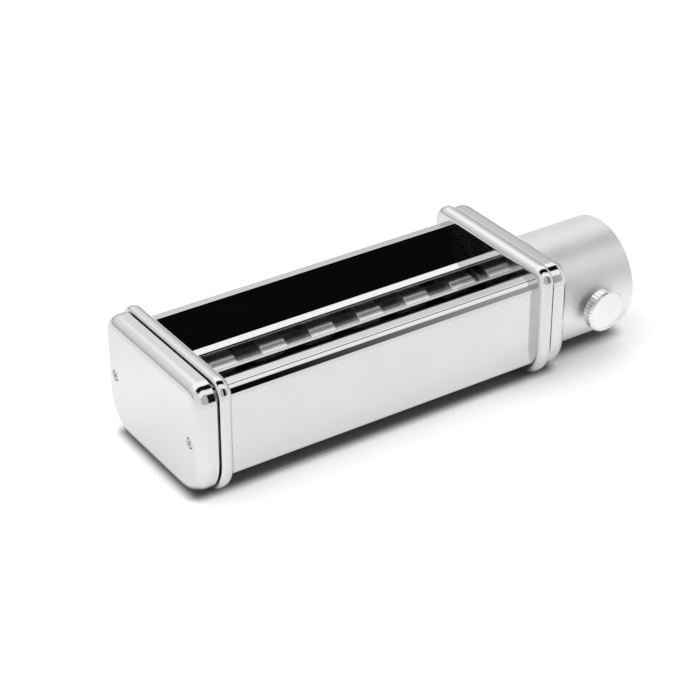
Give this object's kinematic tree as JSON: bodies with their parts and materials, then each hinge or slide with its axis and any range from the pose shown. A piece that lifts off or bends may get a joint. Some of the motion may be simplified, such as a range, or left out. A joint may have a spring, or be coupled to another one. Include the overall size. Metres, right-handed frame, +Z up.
{
  "type": "pasta cutter attachment",
  "caption": "Stand-mixer pasta cutter attachment: sheet-metal hopper over interleaved cutting rollers, end frames and caps, and a drive sleeve with a thumb screw.",
  "frame": {"origin": "on the surface it stands on, under the middle of its bounding box", "axes": "+Z up out of the hopper, +X along the rollers towards the drive sleeve, -Y towards the front, where the thumb screw's head is"},
  "size_m": [0.2212, 0.0798, 0.0548],
  "materials": {
    "polished_chrome": "mirror-polished chrome on sheet steel",
    "satin_chrome": "satin chrome",
    "matte_aluminium": "fine bead-blasted aluminium",
    "roller_steel": "fine-turned stainless steel",
    "gear_steel": "plain machined steel, lightly oiled",
    "screw_steel": "zinc-plated steel",
    "comb_steel": "stamped stainless steel",
    "bush_steel": "sintered steel, oil-soaked",
    "bright_steel": "bright plated, face finely turned, rim knurled",
    "pad_nylon": "natural nylon"
  },
  "bodies": {
    "root": {"front_panel": "polished_chrome", "rear_panel": "polished_chrome", "left_end_frame": "satin_chrome", "right_end_frame": "satin_chrome", "left_end_cap": "satin_chrome", "right_end_cap": "satin_chrome", "left_cap_screws": "screw_steel", "right_cap_screws": "screw_steel", "tie_rods": "screw_steel", "tie_rod_nuts": "screw_steel", "front_stripper_comb": "comb_steel", "rear_stripper_comb": "comb_steel", "front_left_bush": "bush_steel", "front_right_bush": "bush_steel", "rear_left_bush": "bush_steel", "rear_right_bush": "bush_steel", "drive_sleeve": "matte_aluminium", "sleeve_screws": "screw_steel", "thumb_screw_bush": "bush_steel"},
    "front_roller": {"front_cutting_roller": "roller_steel", "drive_gear": "gear_steel", "drive_gear_key": "gear_steel", "drive_gear_clip": "gear_steel", "drive_coupling": "gear_steel", "coupling_pin": "gear_steel"},
    "rear_roller": {"rear_cutting_roller": "roller_steel", "driven_gear": "gear_steel", "driven_gear_key": "gear_steel", "driven_gear_clip": "gear_steel"},
    "thumb_pad": {"thumb_screw_pad": "pad_nylon"},
    "thumb_screw": {"thumb_screw": "bright_steel"}
  },
  "joints": [
    {"name": "front_roller_spin", "type": "hinge", "parent": "root", "child": "front_roller", "pos_m": [-0.01995, -0.0079, 0.0265], "axis": [1, 0, 0], "continuous": true},
    {"name": "rear_roller_spin", "type": "hinge", "parent": "root", "child": "rear_roller", "pos_m": [-0.01995, 0.0093, 0.0265], "axis": [1, 0, 0], "continuous": true},
    {"name": "thumb_pad_slide", "type": "slide", "parent": "root", "child": "thumb_pad", "axis": [0, 1, 0], "range_m": [-0.003, 0.0005]},
    {"name": "thumb_screw_turn", "type": "hinge", "parent": "thumb_pad", "child": "thumb_screw", "pos_m": [0.08995, -0.0333, 0.0265], "axis": [0, 1, 0], "range_deg": [-1081, 181]}
  ],
  "couplings": [
    {"joint": "rear_roller_spin", "follows": "front_roller_spin", "ratio": -1},
    {"joint": "thumb_screw_turn", "follows": "thumb_pad_slide", "rad_per_m": 6283.2}
  ]
}
